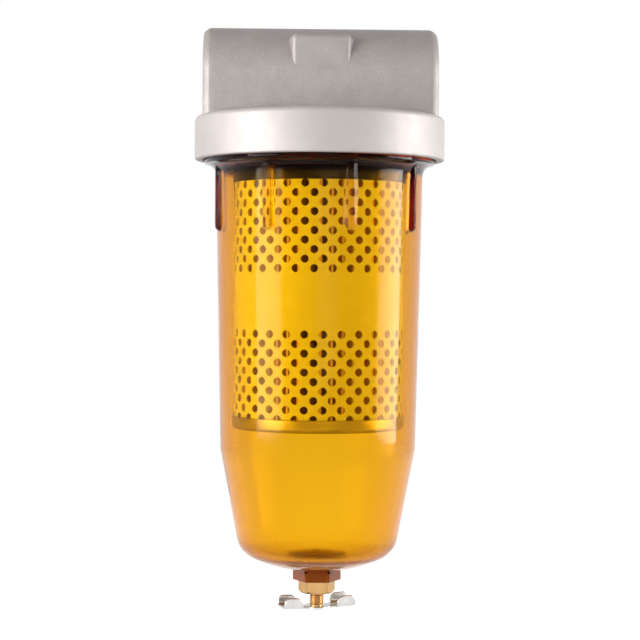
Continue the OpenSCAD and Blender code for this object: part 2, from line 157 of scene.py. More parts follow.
# Bowl: screw neck, drafted body, shoulder, tapered foot and dish
RIM = bowl_hi.z
RIM_EDGE = 1.0
RIM_ROUND = 0.3
NECK_R = (bowl_hi.x - bowl_lo.x) / 2
NECK_WALL = 5.6
NECK_BORE = NECK_R - NECK_WALL
NECK_BORE_EDGE = 0.6
NECK_SHOWN = 1.8
NECK_LOW = COLLAR_LOW - NECK_SHOWN
NECK_LIP = ((0.0, 0.4), (-0.25, -0.05))
NECK_STEP = 5.0
NECK_STEP_EDGE = 0.8
NECK_FILLET_ARC = (97, 176)
NECK_PITCH = 4.0
NECK_TOOTH = 1.1
NECK_TOOTH_TOP = 1.6
NECK_TOOTH_FLANK = 4.4
NECK_RUN_OUT = 2.0
NECK_STEPS = 10
BODY_TOP = NECK_LOW - NECK_STEP
BODY_R = NECK_R - NECK_STEP
BODY_H = 120.4
BODY_DRAFT = 2.5
BODY_STEP = 1.5
SHOULDER_R = BODY_R - BODY_DRAFT
SHOULDER = BODY_TOP - BODY_H
SHOULDER_EDGE = 0.7
SHOULDER_ROUND = ((-0.02, 0.25), (-0.06, -0.2))
SHOULDER_INNER_EDGE = 0.5
FOOT_H = 54.0
FOOT_TAPER = 0.19
BOWL_LOW = SHOULDER - FOOT_H
DISH_R = 71.0
DISH_Z = BOWL_LOW + DISH_R
DISH_END_R = 12.4
CORNER_R = 12.0
WALL = 3.2
FLOOR_RING_R = 12.9
FLOOR_RING_H = 3.4
FLOOR_RING = BOWL_LOW + WALL + FLOOR_RING_H
FLOOR_RING_EDGE = 0.5
FLOOR_RING_FOOT = ((0.0, 0.6), (0.5, 0.15))
FLOOR_RING_GAP = 1.4
DRAIN_BOSS_LOW = bowl_lo.z
DRAIN_BOSS_TOP = BOWL_LOW - 0.4
DRAIN_BOSS_AF = 18.4
DRAIN_BOSS_EDGE = 0.5
DRAIN_BOSS_ROUND = 0.15
DRAIN_HOLE = 6.85
DRAIN_HOLE_EDGE = 0.3

# Where the bowl's flange and its drain boss take its second and third material
THICK_INDEX = 1
BOSS_INDEX = 2
THICK_LOW = BODY_TOP + 1.0
THICK_R = NECK_BORE - 3.0
BOSS_TINT_TOP = BOWL_LOW + 0.2
BOSS_TINT_R = 12.0

# Ribs below the neck
RIB_COUNT = 8
RIB_TURN = 15.5
RIB_R = 2.75
RIB_PROUD = 1.6
RIB_LEN = 30.0
RIB_X = BODY_R + RIB_PROUD - RIB_R
RIB_END = NECK_LOW - RIB_LEN + RIB_R
RIB_BLEND = 0.5
RIB_END_STEPS = 12
RIB_PAST_STEPS = 2
RIB_PAST = 0.4

# Angles round the bowl
BOWL_SIDES = 180
RIB_ARC = 4.6
RIB_FINE_TURN = 0.75
RIB_FINE_STEPS = 6
CORNER_GAP = 0.3

# End caps of the element
CAP_R = (top_cap_hi.x - top_cap_lo.x) / 2
CAP_T = 0.8
CAP_ROUND = 1.6
CAP_HOLE = 9.65
CAP_HOLE_EDGE = 0.2
CAP_FACE_MARGINS = (1.0, 0.3)
CAP_SKIRT_EDGE = 0.3
CAP_SKIRT_ROUND = 0.25
CAP_SKIRT_INNER_ROUND = 0.2
CAP_SIDES = 160
CAP_STEPS = 6
CAP_INNER_STEPS = 5

# Drain cock: hexagon body with a threaded shank
HEX_AF = 14.3
HEX_TURN = 6.5
HEX_LOW = drain_lo.z
HEX_CORNER = 0.08
HEX_CORNER_BLEND = 0.25
HEX_CHAMFER = 0.1
HEX_EDGE_STEP = 0.2
HEX_EDGE_STEPS = 6
HEX_STEPS = (-2.4, -1.2, 0.0, 1.2, 2.4, 8.0, 15.0, 22.0, 30.0, 38.0, 45.0, 52.0)
SHANK_R = 6.8
SHANK_TOP = drain_hi.z
SHANK_LEAD = ((-0.9, 0.0), (-0.5, -0.4))
SHANK_PITCH = 1.41
SHANK_TOOTH = 0.7
SHANK_STEPS = 8
SHANK_THREAD_TOP = SHANK_TOP - 0.5
SHANK_THREAD_LOW = DRAIN_BOSS_LOW + 0.6
SHANK_NECK = 0.4
SHANK_NECK_H = 0.3
SEAT_R = 1.8
SEAT_LIP = 1.5
SEAT = SHANK_TOP - SEAT_LIP
STEM_HOLE = 3.25
STEM_HOLE_EDGE = 0.5
CREST_POWER = 1.5

# Drain cock: stem, riveted to the handle
STEM_R = 3.2
STEM_TIP = stem_hi.z
STEM_LOW = stem_lo.z
STEM_PITCH = 1.06
STEM_TOOTH = 0.4
STEM_STEPS = 9
STEM_SIDES = 64
STEM_THREAD_GAP = 0.5
STEM_RUN_IN = 0.5
STEM_RUN_OUT = 1.2
STEM_RUN_DEPTH = 0.3
STEM_NECK = 0.35
STEM_NECK_H = 0.3
STEM_BORE = 1.1
STEM_BORE_TOP = STEM_TIP - 2.0
STEM_BORE_EDGE_R = 0.4
STEM_BORE_EDGE_H = 0.25
LAND_R = 2.7
LAND_LEN = 6.0
LAND_LOW = STEM_TIP - LAND_LEN
LAND_EDGE = 0.3
TANG_R = 2.1
RIVET_R = 3.3
RIVET_T = 0.7

# Rivet head, as steps from its radius and from the handle's underside
RIVET_ROUND = ((-0.1, 0.0), (0.0, -0.15), (-0.35, -0.42), (-1.0, -0.62))

# Wing handle
SHEET_T = 1.2
WING_LOW = STEM_LOW + RIVET_T
WING_TOP = WING_LOW + SHEET_T
WING_HALF = 16.75
WING_W = 11.0
WING_H = 4.6
WING_TURN = 18.5
WING_RISE = 2.0
RISE_START = 3.0
RISE_FADE = 6.0
EAR_START = 8.0
EAR_ROUND = 2.8
EAR_BLEND = 0.8
FOLD_R = 2.4
FOLD_LEAD = 0.8
FOLD_FLAT = WING_W / 2 - FOLD_R
FOLD_MID_R = FOLD_R - SHEET_T / 2
SHEET_COLUMNS = 44
RIM_STEPS = 6
DISC_STEPS = 20
EAR_STEPS = 10

# Stations along the handle, as distances from where an ear starts or from the handle's end
BEFORE_EAR = (0.15, 0.02)
AFTER_EAR = (0.0, 0.06, 0.2, 0.4, 0.7, 1.0, 1.5)
EAR_MIDDLE_FROM = 2.0
EAR_MIDDLE_TO = 1.9
BEFORE_END = (1.5, 1.1, 0.8, 0.55)

# Rounded end of the handle, as a distance from its end and half its thickness there
END_ROUND = ((0.3, 0.52), (0.12, 0.38), (0.0, 0.18))

# Amber plastic: the colour it lets through, and the slightly matt inside of its floor
AMBER_PASSES = (0.955, 0.828, 0.0)
AMBER_DENSITY = 850.0
AMBER_SPECULAR = (0.08, 0.08, 0.08)
MATT_INSET = 1.0
MATT_H = 18.0

# Floor and world
FLOOR_GAP = 20.0
FLOOR_HALF = 3000.0
FLOOR_GLOW = 0.935
FLOOR_GREYS = (0.36, 0.40)
FLOOR_GRAIN = 30.0
WORLD_AMBIENT = 0.2
WORLD_SEEN = 1.0

# Area lights, as azimuth in degrees, distance, width and height in metres, and radiance
LAMP_LEVEL = -105.0
LAMPS = {
    "softbox_left": (-58.0, 0.85, 0.5, 0.7, 13.0),
    "softbox_right": (84.0, 0.85, 0.5, 0.7, 11.0),
    "softbox_front": (8.0, 1.3, 0.5, 0.6, 2.8),
}

# Camera
EYE_DISTANCE = 782.0
EYE_LEVEL = -93.0
EYE_YAW = -1.5
EYE_ROLL = 0.38
AIM_LEVEL = -107.1
AIM_SHIFT = 0.7
LENS = 99.45
SENSOR_W = 36.0
CLEAR_BOUNCES = 32
GLOSSY_BOUNCES = 12


# Mesh helpers

def arc(centre, r, a0, a1, steps):
    """Points of an arc in the (radius, height) plane, angles in degrees."""
    out = []
    for i in range(steps + 1):
        a = math.radians(a0 + (a1 - a0) * i / steps)
        out.append((centre[0] + r * math.cos(a), centre[1] + r * math.sin(a)))
    return out


def line(p, q, steps):
    """Evenly spaced points from p to q."""
    return [(p[0] + (q[0] - p[0]) * i / steps, p[1] + (q[1] - p[1]) * i / steps) for i in range(steps + 1)]


def stepped(r, z, steps):
    """Points at steps of (radius, height) from a radius and a height."""
    return [(r + dr, z + dz) for dr, dz in steps]


def tagged(points, kind="round"):
    """Outline points as (radius, height, kind)."""
    return [(r, z, kind) for r, z in points]


def smooth_max(a, b, k):
    h = max(k - abs(a - b), 0.0) / k
    return max(a, b) + h * h * k / 4


def smooth_min(a, b, k):
    return -smooth_max(-a, -b, k)


def clamp(value):
    return min(max(value, 0.0), 1.0)


def new_object(name, data):
    obj = bpy.data.objects.new(name, data)
    bpy.context.scene.collection.objects.link(obj)
    return obj


def finish_mesh(bm, name, sharp_angle):
    bmesh.ops.remove_doubles(bm, verts=bm.verts, dist=WELD * MM)
    bmesh.ops.recalc_face_normals(bm, faces=bm.faces)
    mesh = bpy.data.meshes.new(name)
    bm.to_mesh(mesh)
    bm.free()
    mesh.shade_smooth()
    mesh.set_sharp_from_angle(angle=math.radians(sharp_angle))
    return new_object(name, mesh)


def add_rings(bm, rings, along=False):
    """Quads between closed rings of points in millimetres. along joins the last ring to the first."""
    verts = [[bm.verts.new(Vector(p) * MM) for p in ring] for ring in rings]
    count = len(rings[0])
    last = len(rings) if along else len(rings) - 1
    for i in range(last):
        a = verts[i]
        b = verts[(i + 1) % len(rings)]
        for j in range(count):
            k = (j + 1) % count
            bm.faces.new((a[j], a[k], b[k], b[j]))
    return verts


def lathe_rings(profile, angles, radius=None):
    """Rings about the bowl's axis. radius(point, degrees), if given, returns a point's radius and height."""
    rings = []
    for point in profile:
        ring = []
        for a in angles:
            r, z = (point[0], point[1]) if radius is None else radius(point, a)
            t = math.radians(a)
            ring.append((AXIS_X + r * math.cos(t), r * math.sin(t), z))
        rings.append(ring)
    return rings


def even_angles(count):
    return [360.0 * i / count for i in range(count)]


def lathe(name, profile, angles, sharp_angle, radius=None):
    """Closed profile turned about the bowl's axis."""
    bm = bmesh.new()
    add_rings(bm, lathe_rings(profile, angles, radius), along=True)
    return finish_mesh(bm, name, sharp_angle)


def place(obj, body, materials, node):
    """Gives a piece its materials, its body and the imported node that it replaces."""
    for material in materials:
        obj.data.materials.append(material)
    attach(obj, body)
    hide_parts(node)


# Materials

class Paint:
    """A material with one principled shader, and helpers for detail on object coordinates in metres."""

    def __init__(self, name, **values):
        self.mat = bpy.data.materials.new(name)
        self.mat.use_nodes = True
        self.nodes = self.mat.node_tree.nodes
        self.links = self.mat.node_tree.links
        self.nodes.clear()
        self.out = self.nodes.new("ShaderNodeOutputMaterial")
        self.bsdf = self.nodes.new("ShaderNodeBsdfPrincipled")
        self.links.new(self.bsdf.outputs["BSDF"], self.out.inputs["Surface"])
        self.coords = self.nodes.new("ShaderNodeTexCoord").outputs["Object"]
        for key, value in values.items():
            self.set(key.replace("_", " "), value)

    def set(self, socket, value):
        socket = self.bsdf.inputs[socket]
        socket.default_value = (*value, 1.0) if isinstance(value, tuple) else value

    def stretched(self, scale):
        node = self.nodes.new("ShaderNodeMapping")
        node.inputs["Scale"].default_value = scale
        self.links.new(self.coords, node.inputs["Vector"])
        return node.outputs["Vector"]

    def noise(self, scale, detail=3.0, rough=0.55, stretch=None):
        node = self.nodes.new("ShaderNodeTexNoise")
        node.inputs["Scale"].default_value = scale
        node.inputs["Detail"].default_value = detail
        node.inputs["Roughness"].default_value = rough
        self.links.new(self.stretched(stretch) if stretch else self.coords, node.inputs["Vector"])
        return node.outputs["Fac"]

    def cells(self, scale):
        node = self.nodes.new("ShaderNodeTexVoronoi")
        node.inputs["Scale"].default_value = scale
        self.links.new(self.coords, node.inputs["Vector"])
        return node.outputs["Distance"]

    def ramp(self, fac, stops):
        node = self.nodes.new("ShaderNodeValToRGB")
        for element, (at, colour) in zip(node.color_ramp.elements, stops):
            element.position = at
            element.color = (*colour, 1.0) if isinstance(colour, tuple) else (colour, colour, colour, 1.0)
        self.links.new(fac, node.inputs["Fac"])
        return node.outputs["Color"]

    def mix(self, fac, a, b, blend="MIX"):
        node = self.nodes.new("ShaderNodeMix")
        node.data_type = "RGBA"
        node.blend_type = blend
        self._feed(node.inputs[MIX_FACTOR], fac)
        self._feed(node.inputs[MIX_A], a)
        self._feed(node.inputs[MIX_B], b)
        return node.outputs[MIX_RESULT]

    def _feed(self, socket, value):
        if isinstance(value, bpy.types.NodeSocket):
            self.links.new(value, socket)
        elif isinstance(value, tuple):
            socket.default_value = (*value, 1.0)
        else:
            socket.default_value = value

    def scale_to(self, fac, low, high):
        node = self.nodes.new("ShaderNodeMapRange")
        node.inputs["To Min"].default_value = low
        node.inputs["To Max"].default_value = high
        self.links.new(fac, node.inputs["Value"])
        return node.outputs["Result"]

    def below(self, none, full):
        """A mask by height in millimetres, 0 from one height up and 1 from the other down."""
        split = self.nodes.new("ShaderNodeSeparateXYZ")
        self.links.new(self.coords, split.inputs["Vector"])
        return self.between(split.outputs["Z"], none, full)

    def within(self, none, full):
        """A mask by the distance in millimetres from the centre of the dish, 0 outside and 1 inside."""
        reach = self.nodes.new("ShaderNodeVectorMath")
        reach.operation = "DISTANCE"
        self.links.new(self.coords, reach.inputs[0])
        reach.inputs[1].default_value = Vector((AXIS_X, 0.0, DISH_Z)) * MM
        return self.between(reach.outputs["Value"], none, full)

    def between(self, value, none, full):
        """A mask that goes from 0 at one length in millimetres to 1 at the other."""
        node = self.nodes.new("ShaderNodeMapRange")
        node.inputs["From Min"].default_value = none * MM
        node.inputs["From Max"].default_value = full * MM
        self.links.new(value, node.inputs["Value"])
        return node.outputs["Result"]

    def link(self, value, socket):
        self.links.new(value, self.bsdf.inputs[socket])

    def bump(self, *layers):
        """Each layer is (height, strength, distance in metres); they build on each other."""
        normal = None
        for height, strength, distance in layers:
            node = self.nodes.new("ShaderNodeBump")
            node.inputs["Strength"].default_value = strength
            node.inputs["Distance"].default_value = distance
            self.links.new(height, node.inputs["Height"])
            if normal is not None:
                self.links.new(normal, node.inputs["Normal"])
            normal = node.outputs["Normal"]
        self.links.new(normal, self.bsdf.inputs["Normal"])


def cast_metal():
    p = Paint("cast_aluminium_rough", Metallic=0.25)
    grain = p.noise(1500, 4.0, 0.6)
    blotch = p.noise(90, 3.0)
    # Bright specks added to the base colour are painted glints of the cast surface
    glint_cells = p.cells(1300)
    base = p.ramp(blotch, [(0.3, (0.30, 0.269, 0.256)), (0.7, (0.35, 0.316, 0.302))])
    painted_glints = p.ramp(glint_cells, [(0.0, 0.26), (0.24, 0.0)])
    base = p.mix(1.0, base, painted_glints, "ADD")
    p.link(base, "Base Color")
    p.link(p.scale_to(grain, 0.42, 0.62), "Roughness")
    sand = p.noise(430, 3.0, 0.6)
    p.bump((grain, 0.30, 0.00035), (sand, 0.22, 0.0006), (blotch, 0.15, 0.0012))
    return p.mat


def turned_metal():
    p = Paint("cast_aluminium_turned", Metallic=0.3)
    cloud = p.noise(70, 4.0, 0.6)
    grain = p.noise(1300, 3.0)
    base = p.ramp(cloud, [(0.3, (0.41, 0.374, 0.358)), (0.7, (0.45, 0.411, 0.394))])
    p.link(base, "Base Color")
    p.link(p.scale_to(p.noise(240, 4.0, 0.6), 0.44, 0.68), "Roughness")
    p.bump((grain, 0.20, 0.0002), (p.noise(330, 3.0), 0.12, 0.0004), (cloud, 0.08, 0.0006))
    return p.mat


def amber(name, tint, clear=1.0):
    p = Paint(name, Roughness=0.03, IOR=1.5)
    p.set("Transmission Weight", clear)
    p.set("Specular Tint", AMBER_SPECULAR)
    p.set("Base Color", tint)
    flow = p.noise(55, 2.0, 0.5, stretch=(1.0, 1.0, 0.35))
    skin = p.noise(500, 2.0)
    inside = p.within(DISH_R - MATT_INSET, DISH_R - 2 * MATT_INSET)
    low = p.below(BOWL_LOW + MATT_H, BOWL_LOW + MATT_H / 2)
    matt_floor = p.mix(inside, (0.0, 0.0, 0.0), low)
    polished = p.scale_to(skin, 0.015, 0.06)
    matt = p.scale_to(skin, 0.25, 0.35)
    p.link(p.mix(matt_floor, polished, matt), "Roughness")
    p.bump((flow, 0.10, 0.0012), (skin, 0.03, 0.0002))
    volume = p.nodes.new("ShaderNodeVolumeAbsorption")
    volume.inputs["Color"].default_value = (*AMBER_PASSES, 1.0)
    volume.inputs["Density"].default_value = AMBER_DENSITY
    p.links.new(volume.outputs["Volume"], p.out.inputs["Volume"])
    return p.mat


def tube_paint():
    p = Paint("yellow_tube_paint", Roughness=0.42)
    wear = p.noise(140, 4.0)
    base = p.ramp(wear, [(0.3, (0.81, 0.93, 0.36)), (0.7, (0.85, 0.97, 0.44))])
    p.link(base, "Base Color")
    p.link(p.scale_to(p.noise(600, 3.0), 0.36, 0.52), "Roughness")
    p.bump((p.noise(350, 3.0), 0.06, 0.0003))
    return p.mat


def cap_metal(name, dark, light):
    p = Paint(name, Metallic=0.85)
    streak = p.noise(80, 4.0, 0.6, stretch=(1.0, 1.0, 8.0))
    p.link(p.ramp(streak, [(0.3, dark), (0.7, light)]), "Base Color")
    p.link(p.scale_to(p.noise(420, 3.0), 0.30, 0.48), "Roughness")
    p.bump((streak, 0.08, 0.0003))
    return p.mat


def brass():
    p = Paint("brass_turned", Metallic=1.0)
    turned = p.noise(300, 3.0, stretch=(1.0, 1.0, 12.0))
    tarnish = p.noise(160, 4.0)
    p.link(p.ramp(tarnish, [(0.3, (0.44, 0.255, 0.098)), (0.7, (0.54, 0.325, 0.135))]), "Base Color")
    p.link(p.scale_to(turned, 0.22, 0.40), "Roughness")
    p.bump((turned, 0.12, 0.00012))
    return p.mat


def zinc():
    p = Paint("zinc_plated_steel", Metallic=1.0)
    spangle = p.noise(260, 4.0, 0.6)
    brush = p.noise(900, 2.0, stretch=(1.0, 6.0, 1.0))
    p.link(p.ramp(spangle, [(0.3, (0.54, 0.53, 0.51)), (0.7, (0.66, 0.65, 0.63))]), "Base Color")
    p.link(p.scale_to(brush, 0.22, 0.40), "Roughness")
    p.bump((brush, 0.06, 0.0001))
    return p.mat


def rubber():
    p = Paint("black_rubber_moulded")
    bloom = p.noise(220, 4.0)
    p.link(p.ramp(bloom, [(0.35, (0.014, 0.014, 0.015)), (0.75, (0.035, 0.034, 0.034))]), "Base Color")
    p.link(p.scale_to(p.noise(900, 3.0), 0.55, 0.75), "Roughness")
    p.bump((p.noise(1400, 3.0), 0.15, 0.0002))
    return p.mat


def paper():
    p = Paint("filter_paper_pleated")
    fibre = p.noise(700, 5.0, 0.65, stretch=(1.0, 1.0, 0.4))
    p.link(p.ramp(fibre, [(0.3, (0.86, 0.54, 0.30)), (0.7, (0.95, 0.66, 0.42))]), "Base Color")
    p.set("Roughness", 0.9)
    p.bump((fibre, 0.25, 0.0003))
    return p.mat


def resin():
    p = Paint("potting_resin_cast")
    cloud = p.noise(120, 4.0)
    p.link(p.ramp(cloud, [(0.3, (0.58, 0.52, 0.34)), (0.7, (0.70, 0.64, 0.44))]), "Base Color")
    p.link(p.scale_to(p.noise(400, 2.0), 0.40, 0.60), "Roughness")
    p.bump((cloud, 0.10, 0.0005))
    return p.mat


CAST = cast_metal()
TURNED = turned_metal()
AMBER = amber("amber_plastic_clear", (1.0, 1.0, 1.0))
AMBER_THICK = amber("amber_plastic_thick", (0.62, 0.27, 0.10))
AMBER_BOSS = amber("amber_plastic_boss", (0.34, 0.08, 0.008), 0.35)
TUBE = tube_paint()
# The top cap's near-black colour is painted shade from the collar above it; the bottom cap keeps the plate's
# own colour
TOP_CAP_SHADED = cap_metal("top_cap_painted_shade", (0.014, 0.011, 0.005), (0.027, 0.021, 0.010))
LOW_CAP = cap_metal("bottom_cap_plate", (0.40, 0.38, 0.30), (0.52, 0.49, 0.40))
BRASS = brass()
ZINC = zinc()
RUBBER = rubber()
PAPER = paper()
RESIN = resin()


# Head

def ball_points(r):
    """Points on a ball about the origin."""
    out = []
    for i in range(180 // BALL_STEP + 1):
        lat = math.radians(i * BALL_STEP - 90.0)
        ring = math.cos(lat)
        for j in range(360 // BALL_STEP):
            lon = math.radians(j * BALL_STEP)
            out.append(Vector((ring * math.cos(lon), ring * math.sin(lon), math.sin(lat))) * r)
    return out


def add_pad(bm, side):
    """Rounded pad on the front (side -1) or the back (side 1): the hull of eight small balls."""
    front = side * (BARREL_R + PAD_PROUD - PAD_EDGE)
    root = front - side * PAD_DEPTH
    half = PAD_HALF_W - PAD_EDGE
    root_half = half + PAD_DEPTH * PAD_SLOPE
    top = PAD_TOP - PAD_EDGE
    corners = (
        (half, front, top),
        (half, front - side * PAD_LEAN, 0.0),
        (root_half, root, top - PAD_DROP),
        (root_half, root, 0.0),
    )
    hull = bmesh.new()
    for end in (-1, 1):
        for x, y, z in corners:
            centre = Vector((AXIS_X + end * x, y, z))
            for point in ball_points(PAD_EDGE):
                hull.verts.new((centre + point) * MM)
    made = bmesh.ops.convex_hull(hull, input=hull.verts)
    inner = [g for g in made["geom_interior"] if isinstance(g, bmesh.types.BMVert)]
    bmesh.ops.delete(hull, geom=inner, context="VERTS")
    copies = {v: bm.verts.new(v.co) for v in hull.verts}
    for face in hull.faces:
        bm.faces.new([copies[v] for v in face.verts])
    hull.free()


def barrel_radius(x, phi, inset):
    """Distance of the barrel's surface from its axis: round above, upright sides and a fillet below."""
    nz = math.sin(phi)
    side = BARREL_R - inset
    if nz >= 0:
        return side
    slant = max(abs(math.cos(phi)), TINY)
    r = side / slant
    lift = r * nz - COLLAR_TOP
    fillet = FILLET_R * (1.0 - clamp((abs(x) - FILLET_END) / FILLET_FADE))
    if 0 < lift < fillet:
        r += (fillet - math.sqrt(fillet ** 2 - (fillet - lift) ** 2)) / slant
    elif lift <= 0:
        r += fillet / slant
    return min(r, (-COLLAR_TOP + BARREL_FOOT) / abs(nz))


def barrel_stations():
    """x along the barrel with the set-in of its rounded ends."""
    ends = []
    for i in range(EDGE_STEPS + 1):
        a = math.radians(90 * i / EDGE_STEPS)
        x = BARREL_EDGE * (1 - math.cos(a) ** BARREL_EDGE_POWER)
        ends.append((x, BARREL_EDGE_DEPTH * (1 - math.sin(a) ** BARREL_EDGE_POWER)))
    inner = []
    x = BARREL_EDGE + COARSE_STEP
    while x < BARREL_LEN - BARREL_EDGE - COARSE_STEP / 2:
        inner.append((x, 0.0))
        x += FINE_STEP if abs(x - AXIS_X) < FINE_REACH else COARSE_STEP
    far = [(BARREL_LEN - x, inset) for x, inset in reversed(ends)]
    return ends + inner + far


def section_angles():
    """Angles of a barrel section in radians, finer on the front and the back, where the pads are."""
    out = []
    a = -90.0
    while a < 270.0 - TINY:
        out.append(math.radians(a))
        side = min(abs(a), abs(a - 180.0))
        a += FINE_TURN if side < FINE_ARC else COARSE_TURN
    return out


def port_radius(depth, phi, inwards):
    """Radius of a port's taper thread at a depth and an angle."""
    turn = (depth / PORT_PITCH + inwards * phi / TAU) % 1.0
    tooth = max(0.0, 1.0 - abs(turn - 0.5) * PORT_TOOTH_FLANK)
    return PORT_R - depth * PORT_TAPER - PORT_TOOTH * tooth


def port_rings(phis, face, inwards, end):
    """Rings from a port's mouth down its thread and its passage to the passage's closed end."""

    def ring(depth, radii):
        x = face + inwards * depth
        return [(x, r * math.cos(p), r * math.sin(p)) for p, r in zip(phis, radii)]

    def plain(depth, r):
        return ring(depth, [r] * len(phis))

    rings = [plain(0.0, PORT_R + PORT_MOUTH), plain(PORT_MOUTH, PORT_R)]
    depth = PORT_MOUTH
    while depth < PORT_DEPTH - PORT_RUN_OUT:
        depth += PORT_PITCH / PORT_STEPS
        rings.append(ring(depth, [port_radius(depth, p, inwards) for p in phis]))
    rings += [plain(PORT_DEPTH + deeper, PORT_R + wider) for deeper, wider in PORT_FOOT]
    rings += [plain(PORT_DEPTH, PASSAGE_R + PASSAGE_EDGE), plain(PORT_DEPTH + PASSAGE_EDGE, PASSAGE_R)]
    rings += [plain(end + past, PASSAGE_R * share) for past, share in PASSAGE_END]
    return rings


def collar_profile():
    """Closed outline of the collar with its roof and the nipple boss, as (radius, height)."""
    out = [(NIPPLE_HOLE, NIPPLE_HOLE_TOP), (NIPPLE_HOLE, BOSS_FACE + NIPPLE_EDGE)]
    out += [(NIPPLE_HOLE + NIPPLE_EDGE, BOSS_FACE)]
    out += [(BOSS_R - BOSS_EDGE, BOSS_FACE), (BOSS_R, BOSS_FACE + BOSS_EDGE)]
    out += arc((BOSS_R + BOSS_FILLET, ROOF - BOSS_FILLET), BOSS_FILLET, 180, 90, steps=4)
    out += [(COLLAR_BORE - BORE_EDGE, ROOF), (COLLAR_BORE, ROOF - BORE_EDGE)]
    out += [(COLLAR_BORE, COLLAR_LOW + BORE_EDGE), (COLLAR_BORE + BORE_MOUTH, COLLAR_LOW)]
    out += arc((COLLAR_R - COLLAR_EDGE, COLLAR_LOW + COLLAR_EDGE), COLLAR_EDGE, -90, 0, steps=5)
    for i in range(EDGE_STEPS + 1):
        a = math.radians(90.0 * i / EDGE_STEPS)
        drop = COLLAR_FALL + SLOPE_H * (1.0 - math.sin(a))
        out.append((COLLAR_R - SLOPE_W * (1.0 - math.cos(a)), COLLAR_TOP - drop))
    out += [(r, COLLAR_TOP) for r in (COLLAR_R - COLLAR_FALL_W, *COLLAR_INNER)]
    return out


def build_head():
    bm = bmesh.new()
    phis = section_angles()
    outer = []
    for x, inset in barrel_stations():
        radii = [barrel_radius(x - AXIS_X, p, inset) for p in phis]
        outer.append([(x, r * math.cos(p), r * math.sin(p)) for p, r in zip(phis, radii)])
    inlet = port_rings(phis, 0.0, 1.0, INLET_END)
    outlet = port_rings(phis, BARREL_LEN, -1.0, OUTLET_END)
    add_rings(bm, inlet[::-1] + outer + outlet)
    for face in bm.faces:
        c = face.calc_center_median() / MM
        on_end = min(c.x, BARREL_LEN - c.x) < TURNED_END
        if on_end or math.hypot(c.y, c.z) < PORT_R + PORT_MOUTH + TURNED_END:
            face.material_index = TURNED_INDEX
    add_pad(bm, -1)
    add_pad(bm, 1)
    start = len(bm.faces)
    add_rings(bm, lathe_rings(collar_profile(), even_angles(COLLAR_SIDES)), along=True)
    for face in list(bm.faces)[start:]:
        c = face.calc_center_median() / MM
        radial = math.hypot(c.x - AXIS_X, c.y)
        on_boss = radial < TURNED_BOSS_R and c.z < ROOF
        if on_boss or radial > TURNED_COLLAR_R:
            face.material_index = TURNED_INDEX
    obj = finish_mesh(bm, "head_casting", sharp_angle=32)
    place(obj, "head", [CAST, TURNED], "filter_head")


build_head()


# Bowl

def bowl_lower(inset):
    """Points, radii and angles of the bowl's outline below its shoulder, set in by a wall."""
    dish = DISH_R - inset
    corner = CORNER_R - inset
    shoulder = Vector((SHOULDER_R - inset, SHOULDER))
    centre = Vector((0.0, DISH_Z))
    foot = Vector((-FOOT_TAPER, -1.0)).normalized()
    inwards = Vector((foot.y, -foot.x))
    start = shoulder + inwards * corner - centre
    along = start.dot(foot)
    reach = -along + math.sqrt(along * along - start.dot(start) + (dish - corner) ** 2)
    corner_at = centre + start + foot * reach
    foot_end = shoulder + foot * reach
    dish_angle = math.degrees(math.atan2(corner_at.y - centre.y, corner_at.x))
    foot_angle = math.degrees(math.atan2(foot_end.y - corner_at.y, foot_end.x - corner_at.x))
    return shoulder, foot_end, corner_at, corner, foot_angle, dish_angle, dish


def hex_radius(af, a):
    """Radius of a hexagon with corners at 0, 60 and so on, at angle a in degrees."""
    return af / 2 / math.cos(math.radians(a % 60.0 - 30.0))


def body_radius(z):
    """Radius of the drafted body at a height between its top and its shoulder."""
    return BODY_R + (SHOULDER_R - BODY_R) * (BODY_TOP - z) / (BODY_TOP - SHOULDER)


def neck_outside():
    """Outline of the rim, the threaded neck and the fillet below it."""
    pts = tagged([(NECK_R - RIM_EDGE, RIM), (NECK_R - RIM_ROUND, RIM - RIM_ROUND), (NECK_R, RIM - RIM_EDGE)])
    step = NECK_PITCH / NECK_STEPS
    z = RIM - RIM_EDGE - step / 2
    while z > NECK_LOW + NECK_RUN_OUT + step:
        pts += tagged([(NECK_R, z)], "thread")
        z -= step
    pts += tagged([(NECK_R, NECK_LOW + NECK_RUN_OUT)])
    pts += tagged(stepped(NECK_R, NECK_LOW, NECK_LIP))
    pts += tagged(arc((NECK_R, BODY_TOP), NECK_STEP, *NECK_FILLET_ARC, steps=9), "rib")
    return pts


def body_outside():
    """Outline of the body with its ribs and their rounded ends, down to the shoulder."""
    pts = []
    z = BODY_TOP - BODY_STEP / 3
    while z > RIB_END:
        pts += tagged([(body_radius(z), z)], "rib")
        z -= BODY_STEP
    for i in range(RIB_END_STEPS + RIB_PAST_STEPS + 1):
        a = math.radians(90.0 * min(1.0, i / RIB_END_STEPS))
        z = RIB_END - RIB_R * math.sin(a) - RIB_PAST * max(0, i - RIB_END_STEPS)
        pts += tagged([(body_radius(z), z)], "rib")
    below_ribs = RIB_END - RIB_R - BODY_STEP
    for _, z in line((0.0, below_ribs), (0.0, SHOULDER + SHOULDER_EDGE), steps=19):
        pts += tagged([(body_radius(z), z)])
    return pts


